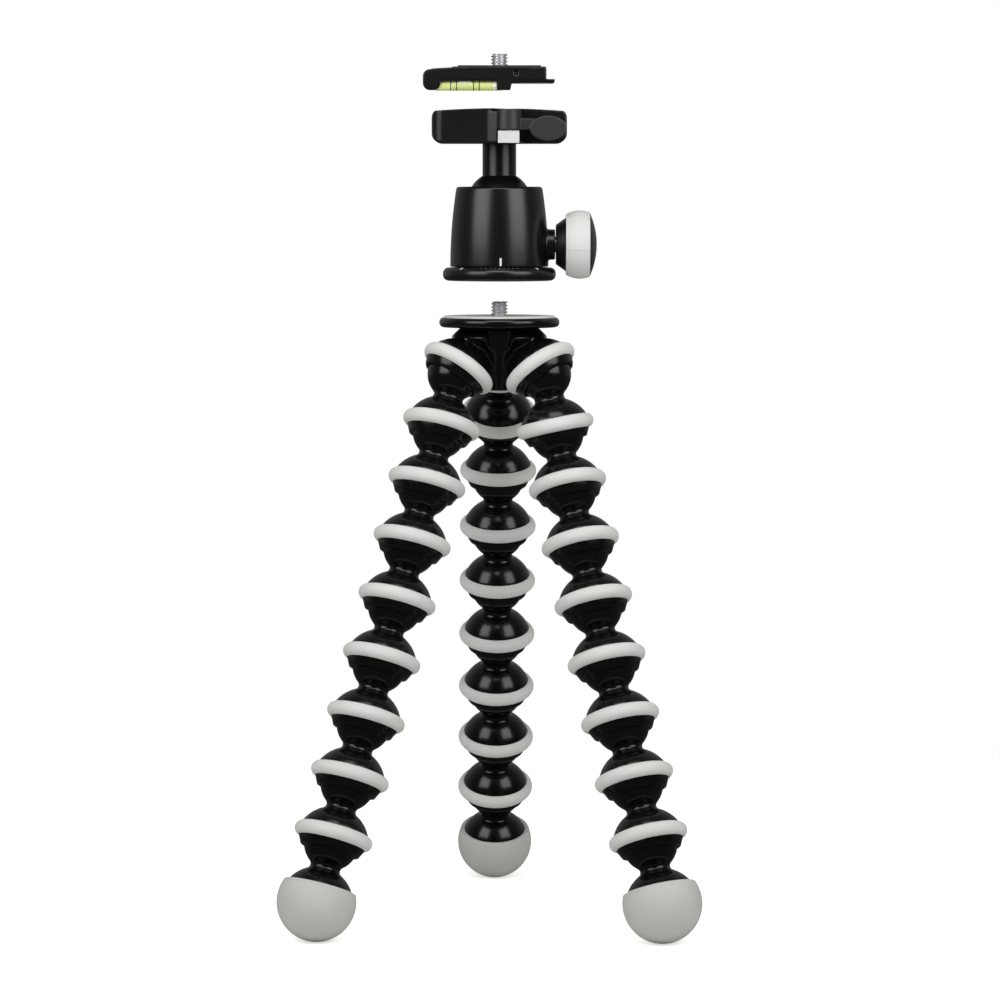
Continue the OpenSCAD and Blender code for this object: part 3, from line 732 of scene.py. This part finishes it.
@dataclass
class Hub:
    """The hub that the legs hang from, with its disc, pad and stud."""

    voxel: float = 0.45
    rounds: int = 24
    stud_head_r: float = 6.0
    stud_head_h: float = 2.95
    stud_room: float = 0.25
    pad_edge: float = 0.25

    def build(self) -> None:
        """Models and dresses the hub."""
        body = Bench.soften("hub_body", "hub_moulding", self.voxel, self.rounds)
        dress(body, GLOSS_NYLON, "tripod", Slot.LEG, "hub_body")
        keep(GLOSS_NYLON, "top_disc")
        keep(GRIP_TPE, "hub_rings")
        self.make_pad()
        self.make_stud()

    def make_pad(self) -> None:
        """Turns the rubber pad, with its edges rounded."""
        low, high = span("disc_pad")
        bore, e = THREAD_CREST_R + self.stud_room, self.pad_edge
        line = Outline().to((bore, low.z), (high.x, low.z))
        line.arc((high.x - e, high.z - e), e, 0, 90, steps=5)
        line.arc((bore + e, high.z - e), e, 90, 180, steps=5).closed()
        dress(Bench.turn("disc_rubber", line), GRIP_TPE, "tripod", Slot.GRIP, "disc_pad")

    def make_stud(self) -> None:
        """Cuts the stud's thread over its hidden head."""
        low, high = span("tripod_stud")
        r, top = self.stud_head_r, low.z + self.stud_head_h
        head = Outline().to((0, low.z), (r, low.z), (r, top), (0, top))
        thread = Bench.thread("stud_thread", top, high.z)
        stud = Bench.join([thread, Bench.turn("stud_head", head)], "stud_steel")
        dress(stud, BRIGHT_STEEL, "tripod", Slot.STEEL, "tripod_stud")


@dataclass
class BallHead:
    """The ball head: base, housing, ball and locking knob."""

    voxel: float = 0.32
    rounds: int = 6
    # Rounding of the base's rim, and the room between base and housing
    rim_soft: float = 2.2
    pan_gap: float = 0.3
    # Scale on the rim: places and widths round the base, and reaches over the rounding, in degrees
    mark_turns: tuple[float, float] = (225.0, 315.0)
    mark_wide: float = 1.7
    mark_span: tuple[float, float] = (48.0, 86.0)
    mark_steps: int = 3
    tick_wide: float = 0.5
    tick_span: tuple[float, float] = (72.0, 86.0)
    tick_turn: float = 5.0
    ticks: int = 4
    # Index on the housing: place and width in degrees, and its ends above the housing's foot
    index_turn: float = 271.5
    index_wide: float = 2.2
    index_rise: tuple[float, float] = (0.5, 3.5)
    index_steps: int = 4
    # How far a printed line or a seam reaches above its surface, and below it
    ink: float = 0.06
    stem_r: float = 6.4
    stem_fillet: float = 0.2
    ball_r: float = 12.4
    # Knob's rubber band: radius of its hump, the peak's place as a share of its length, and its seam
    band_hump: float = 10.0
    band_peak: float = 0.58
    seam_wide: float = 1.1
    seam_turn: float = 280.0
    seam_steps: int = 2

    def build(self) -> None:
        """Models and dresses the head."""
        keep(SATIN_COAT, "pan_base")
        body = Bench.soften("housing", "housing_casting", self.voxel, self.rounds)
        dress(body, SATIN_COAT, "head", Slot.HEAD, "housing")
        self.make_stem()
        self.make_marks()
        self.make_seam()
        keep(TURNED_BRASS, "base_insert", "ball_seat")
        keep(BRIGHT_STEEL, "pan_retainer", "brake_nose", "knob_screw")
        keep(SATIN_NYLON, "knob_core", "knob_cap")
        keep(GRIP_TPE, "knob_grip")

    def make_stem(self) -> None:
        """Turns the ball and its stem, with a small fillet between them."""
        low, high = span("ball_stem")
        b, s, f = self.ball_r, self.stem_r, self.stem_fillet
        middle = low.z + b
        rise = math.sqrt((b + f) ** 2 - (s + f) ** 2)
        meet = math.degrees(math.atan2(rise, s + f))
        line = Outline().arc((0, middle), b, -90, meet, steps=30)
        line.arc((s + f, middle + rise), f, meet + 180, 180, steps=6)
        line.to((s, high.z), (0, high.z))
        dress(Bench.turn("ball_and_stem", line), SATIN_COAT, "clamp", Slot.HEAD, "ball_stem")

    def make_seam(self) -> None:
        """Draws the mould's parting line along the front of the knob's rubber band."""
        low, high = span("knob_grip")
        axis = Vector((0, 0, (low.z + high.z) / 2))
        peak = low.x + self.band_peak * (high.x - low.x)
        centre = ((high.z - low.z) / 2 - self.band_hump, peak)
        ends = [math.degrees(math.asin((x - peak) / self.band_hump)) for x in (low.x, high.x)]
        line = Outline().arc(centre, self.band_hump + self.ink, *ends)
        line.arc(centre, self.band_hump - self.ink, *reversed(ends)).closed()
        seam = Bench.turn("knob_seam", line, steps=self.seam_steps, degrees=self.seam_wide)
        Bench.place(seam, along_x(axis) @ about_z(self.seam_turn))
        # The seam is drawn in the darker copy of the band's elastomer: painted shade along the parting
        # line.
        dress(seam, SHADED_TPE, "knob", Slot.GRIP)

    def rim_mark(self, name: str, reach: tuple[float, float], wide: float) -> Piece:
        """Prints one line over the base's rounded rim.

        Args:
            name: Name of the new piece.
            reach: Angles of its ends on the rounding, in degrees.
            wide: Angle that it takes up round the base.

        Returns:
            The line, lying on +x.
        """
        rim_r, soft = span("pan_base")[1].x, self.rim_soft
        centre = (rim_r - soft, span("housing")[0].z - self.pan_gap - soft)
        line = Outline().arc(centre, soft + self.ink, reach[1], reach[0])
        line.arc(centre, soft - self.ink, reach[0], reach[1]).closed()
        mark = Bench.turn(name, line, steps=self.mark_steps, degrees=wide)
        return Bench.place(mark, about_z(wide / 2))

    def make_marks(self) -> None:
        """Prints the scale on the base's rim and the index on the housing."""
        long = self.rim_mark("long_mark", self.mark_span, self.mark_wide)
        fine = self.rim_mark("fine_mark", self.tick_span, self.tick_wide)
        middle = sum(self.mark_turns) / 2
        scale = [Bench.copy(long, f"mark_{i}", about_z(t)) for i, t in enumerate(self.mark_turns)]
        for i in range(-self.ticks, self.ticks + 1):
            scale.append(Bench.copy(fine, f"tick_{i}", about_z(middle + i * self.tick_turn)))
        Bench.scrap(long, fine)
        dress(Bench.join(scale, "pan_scale"), WHITE_INK, "head_base", Slot.HEAD)

        low = span("housing")[0]
        inner, outer = -low.x - self.ink, -low.x + self.ink
        foot, top = (low.z + rise for rise in self.index_rise)
        line = Outline().to((inner, foot), (outer, foot), (outer, top), (inner, top)).closed()
        index = Bench.turn("pan_index", line, steps=self.index_steps, degrees=self.index_wide)
        Bench.place(index, about_z(self.index_turn + self.index_wide / 2))
        dress(index, WHITE_INK, "head", Slot.HEAD)


@dataclass
class Clamp:
    """The quick-release clamp with its lever and jaw."""

    voxel: float = 0.34
    lever_voxel: float = 0.22
    rounds: int = 6

    def build(self) -> None:
        """Models and dresses the clamp."""
        body = Bench.soften("clamp_body", "clamp_moulding", self.voxel, self.rounds)
        dress(body, SATIN_NYLON, "clamp", Slot.CLAMP, "clamp_body")
        lever = Bench.soften("clamp_lever", "lever_casting", self.lever_voxel, self.rounds)
        # The lever takes the lighter copy of the nylon: painted light from the light boxes.
        dress(lever, LIGHTENED_NYLON, "lever", Slot.HEAD, "clamp_lever")
        keep(BLASTED_STEEL, "clamp_jaw")
        keep(BRIGHT_STEEL, "lever_pin", "clamp_screw")


@dataclass
class Plate:
    """The quick-release plate with its level and camera screw."""

    voxel: float = 0.28
    rounds: int = 10
    # Level: places of its rings, its bubble and its plug along x
    ring_places: tuple[float, ...] = (-18.2, -16.0, -9.65, -7.5)
    ring_wide: float = 0.32
    ring_proud: float = 0.04
    ring_steps: int = 40
    bubble_span: tuple[float, float] = (-15.7, -9.9)
    bubble_r: float = 1.0
    bubble_steps: int = 24
    plug_span: tuple[float, float] = (-2.3, -1.0)
    # Camera screw
    head_r: float = 7.0
    head_h: float = 2.4
    head_edge: float = 0.4
    neck_r: float = 2.6

    def build(self) -> None:
        """Models and dresses the plate."""
        body = Bench.soften("plate_body", "plate_moulding", self.voxel, self.rounds)
        dress(body, SATIN_NYLON, "plate", Slot.CLAMP, "plate_body")
        keep(BLACK_RUBBER, "plate_pad")
        keep(LEVEL_SPIRIT, "level_vial")
        self.make_level()
        self.make_screw()

    def make_level(self) -> None:
        """Adds the level's printed rings, its bubble and its white plug."""
        low, high = span("level_vial")
        middle = (low + high) / 2
        axis = along_x(Vector((0, middle.y, middle.z)))
        tube_r = (high.z - low.z) / 2
        rings = [self.band(f"ring_{i}", tube_r, x - self.ring_wide / 2, x + self.ring_wide / 2)
                 for i, x in enumerate(self.ring_places)]
        ink = Bench.place(Bench.join(rings, "level_rings"), axis)
        dress(ink, BLACK_INK, "plate", Slot.LEVEL)
        plug = Bench.place(self.band("level_plug", tube_r, *self.plug_span), axis)
        dress(plug, WHITE_INK, "plate", Slot.LEVEL)

        (left, right), r = self.bubble_span, self.bubble_r
        drop = Outline().arc((0, right - r), r, 90, 0, steps=8).arc((0, left + r), r, 0, -90, steps=8)
        bubble = Bench.turn("level_bubble", drop, steps=self.bubble_steps)
        Bench.place(bubble, along_x(Vector((0, low.y + r, high.z - r))))
        dress(bubble, BUBBLE_AIR, "plate", Slot.LEVEL)

    def band(self, name: str, tube_r: float, start: float, end: float) -> Piece:
        """Turns a thin band that lies on the level's tube.

        Args:
            name: Name of the new piece.
            tube_r: Radius of the tube.
            start: Place of the band's left side, along the tube.
            end: Place of its right side.

        Returns:
            The band, standing about z.
        """
        inner, outer = tube_r - self.ring_proud, tube_r + self.ring_proud
        line = Outline().to((inner, start), (outer, start), (outer, end), (inner, end)).closed()
        return Bench.turn(name, line, steps=self.ring_steps)

    def make_screw(self) -> None:
        """Cuts the camera screw's thread over its neck and head."""
        low, high = span("camera_screw")
        neck_top = span("plate_pad")[1].z
        e, top, neck = self.head_edge, low.z + self.head_h, self.neck_r
        line = Outline().to((0, low.z)).arc((self.head_r - e, low.z + e), e, -90, 0, steps=4)
        line.arc((self.head_r - e, top - e), e, 0, 90, steps=4)
        line.to((neck, top), (neck, neck_top), (0, neck_top))
        thread = Bench.thread("screw_thread", neck_top, high.z)
        screw = Bench.join([thread, Bench.turn("screw_head", line)], "camera_screw_steel")
        dress(screw, BRIGHT_STEEL, "screw", Slot.STEEL, "camera_screw")


@dataclass(frozen=True)
class LightBox:
    """A light box, by its turn from the camera's side, its rise, its size and its brightness."""

    turn: float
    rise: float
    wide: float
    tall: float
    light: float

    def way(self) -> Vector:
        """Gives the direction from the object to the box."""
        a, e = math.radians(self.turn), math.radians(self.rise)
        return Vector((math.sin(a) * math.cos(e), -math.cos(a) * math.cos(e), math.sin(e)))


@dataclass
class Studio:
    """Floor, lights and camera of a plain white studio."""

    camera_at: tuple[float, float, float] = (0.25, -1742.0, 277.7)
    camera_dip: float = 3.89
    lens_mm: float = 164.5
    sensor_mm: float = 36.0
    # Light boxes hang round the middle, box_far away from it
    middle: tuple[float, float, float] = (0.0, 0.0, 160.0)
    box_far: float = 640.0
    boxes: tuple[LightBox, ...] = (
        LightBox(turn=-46.0, rise=30.0, wide=430.0, tall=420.0, light=3.4),
        LightBox(turn=46.0, rise=30.0, wide=430.0, tall=420.0, light=3.4),
        LightBox(turn=0.0, rise=60.0, wide=380.0, tall=320.0, light=3.2))
    # Light of the room, and what gloss shows of it from the camera's side to the far side
    room_light: float = 0.26
    room_dark: float = 0.015
    room_behind: float = 0.25
    room_edge: tuple[float, float] = (-0.25, 0.55)
    paper: str = "#f6f6f5"
    floor_gloss: float = 0.07
    floor_glow: float = 0.6
    floor_r: float = 2600.0
    floor_sides: int = 96
    floor_fade: tuple[float, float] = (260.0, 620.0)

    def build(self) -> None:
        """Makes the floor, the world, the lights and the camera."""
        self.make_floor()
        self.make_world()
        for box in self.boxes:
            self.make_box(box)
        self.make_camera()
        bpy.context.scene.view_settings.view_transform = "Standard"

    def make_camera(self) -> None:
        """Sets up the camera in front of the object, dipped a little."""
        data = bpy.data.cameras.new("camera")
        data.lens, data.sensor_width = self.lens_mm, self.sensor_mm
        camera = bpy.data.objects.new("camera", data)
        camera.location = Vector(self.camera_at) * MM
        camera.rotation_euler = (math.radians(90 - self.camera_dip), 0, 0)
        bpy.context.scene.collection.objects.link(camera)
        bpy.context.scene.camera = camera

    def make_box(self, box: LightBox) -> None:
        """Hangs one light box.

        Args:
            box: Its place, size and brightness.
        """
        way = box.way()
        data = bpy.data.lights.new("light_box", "AREA")
        data.shape = "RECTANGLE"
        data.size, data.size_y = box.wide * MM, box.tall * MM
        data.energy = box.light * math.pi * data.size * data.size_y
        lamp = bpy.data.objects.new("light_box", data)
        lamp.location = (Vector(self.middle) + way * self.box_far) * MM
        lamp.visible_camera = False
        lamp.rotation_mode = "QUATERNION"
        lamp.rotation_quaternion = (-way).to_track_quat("-Z", "Y")
        bpy.context.scene.collection.objects.link(lamp)

    def make_world(self) -> None:
        """Makes a white background, and a dim room for the light and the gloss."""
        world = bpy.data.worlds.new("studio")
        bpy.context.scene.world = world
        tree = bare_tree(world)
        path = add_node(tree, "ShaderNodeLightPath").outputs
        where = add_node(tree, "ShaderNodeTexCoord").outputs["Generated"]
        y = add_node(tree, "ShaderNodeSeparateXYZ", {0: where}).outputs["Y"]
        behind = add_node(tree, "ShaderNodeMapRange",
                          {"Value": y, "From Min": self.room_edge[0], "From Max": self.room_edge[1],
                           "To Min": self.room_dark, "To Max": self.room_behind})
        gloss = add_node(tree, "ShaderNodeBackground",
                         {"Color": WHITE, "Strength": behind.outputs["Result"]})
        room = add_node(tree, "ShaderNodeBackground", {"Color": WHITE, "Strength": self.room_light})
        white = add_node(tree, "ShaderNodeBackground", {"Color": WHITE, "Strength": 1.0})
        seen = add_node(tree, "ShaderNodeMath", {0: path["Is Camera Ray"], 1: path["Is Transmission Ray"]},
                        operation="MAXIMUM")
        lit = add_node(tree, "ShaderNodeMixShader",
                       {0: path["Is Glossy Ray"], 1: room.outputs[0], 2: gloss.outputs[0]})
        full = add_node(tree, "ShaderNodeMixShader",
                        {0: seen.outputs[0], 1: lit.outputs[0], 2: white.outputs[0]})
        add_node(tree, "ShaderNodeOutputWorld", {"Surface": full.outputs[0]})

    def make_floor(self) -> None:
        Bench.clear()
        bpy.ops.mesh.primitive_circle_add(vertices=self.floor_sides, radius=self.floor_r * MM,
                                          fill_type="NGON")
        floor = bpy.context.object
        floor.name = "studio_floor"
        floor.data.materials.append(self.floor_material())

    def floor_material(self) -> bpy.types.Material:
        """Makes white paper that keeps the shadow and fades to the background away from the feet.

        Returns:
            The material with its node tree.
        """
        made = bpy.data.materials.new("floor_white_paper")
        tree = bare_tree(made)
        where = add_node(tree, "ShaderNodeTexCoord").outputs["Object"]
        far = add_node(tree, "ShaderNodeVectorMath", {0: where}, operation="LENGTH")
        fade = add_node(tree, "ShaderNodeMapRange",
                        {"Value": far.outputs["Value"], "From Min": self.floor_fade[0] * MM,
                         "From Max": self.floor_fade[1] * MM}, interpolation_type="SMOOTHSTEP")
        path = add_node(tree, "ShaderNodeLightPath").outputs
        paper = add_node(tree, "ShaderNodeBsdfDiffuse", {"Color": linear(self.paper)})
        glow = add_node(tree, "ShaderNodeEmission", {"Color": WHITE, "Strength": self.floor_glow})
        near = add_node(tree, "ShaderNodeAddShader", {0: paper.outputs[0], 1: glow.outputs[0]})
        white = add_node(tree, "ShaderNodeEmission", {"Color": WHITE, "Strength": 1.0})
        both = add_node(tree, "ShaderNodeMixShader",
                        {0: fade.outputs["Result"], 1: near.outputs[0], 2: white.outputs[0]})
        dim = add_node(tree, "ShaderNodeEmission", {"Color": WHITE, "Strength": self.floor_gloss})
        lit = add_node(tree, "ShaderNodeMixShader",
                       {0: path["Is Glossy Ray"], 1: paper.outputs[0], 2: dim.outputs[0]})
        full = add_node(tree, "ShaderNodeMixShader",
                        {0: path["Is Camera Ray"], 1: lit.outputs[0], 2: both.outputs[0]})
        add_node(tree, "ShaderNodeOutputMaterial", {"Surface": full.outputs[0]})
        return made


def main() -> None:
    """Builds the pieces in order."""
    logging.basicConfig(level=logging.INFO, format="%(name)s: %(message)s")
    Studio().build()
    sizes = LegSizes()
    Leg.make_patterns(sizes)
    for side in Side:
        Leg(side, sizes).build()
    Leg.clear_patterns()
    for group in (Hub(), BallHead(), Clamp(), Plate()):
        group.build()


if __name__ == "__main__":
    main()
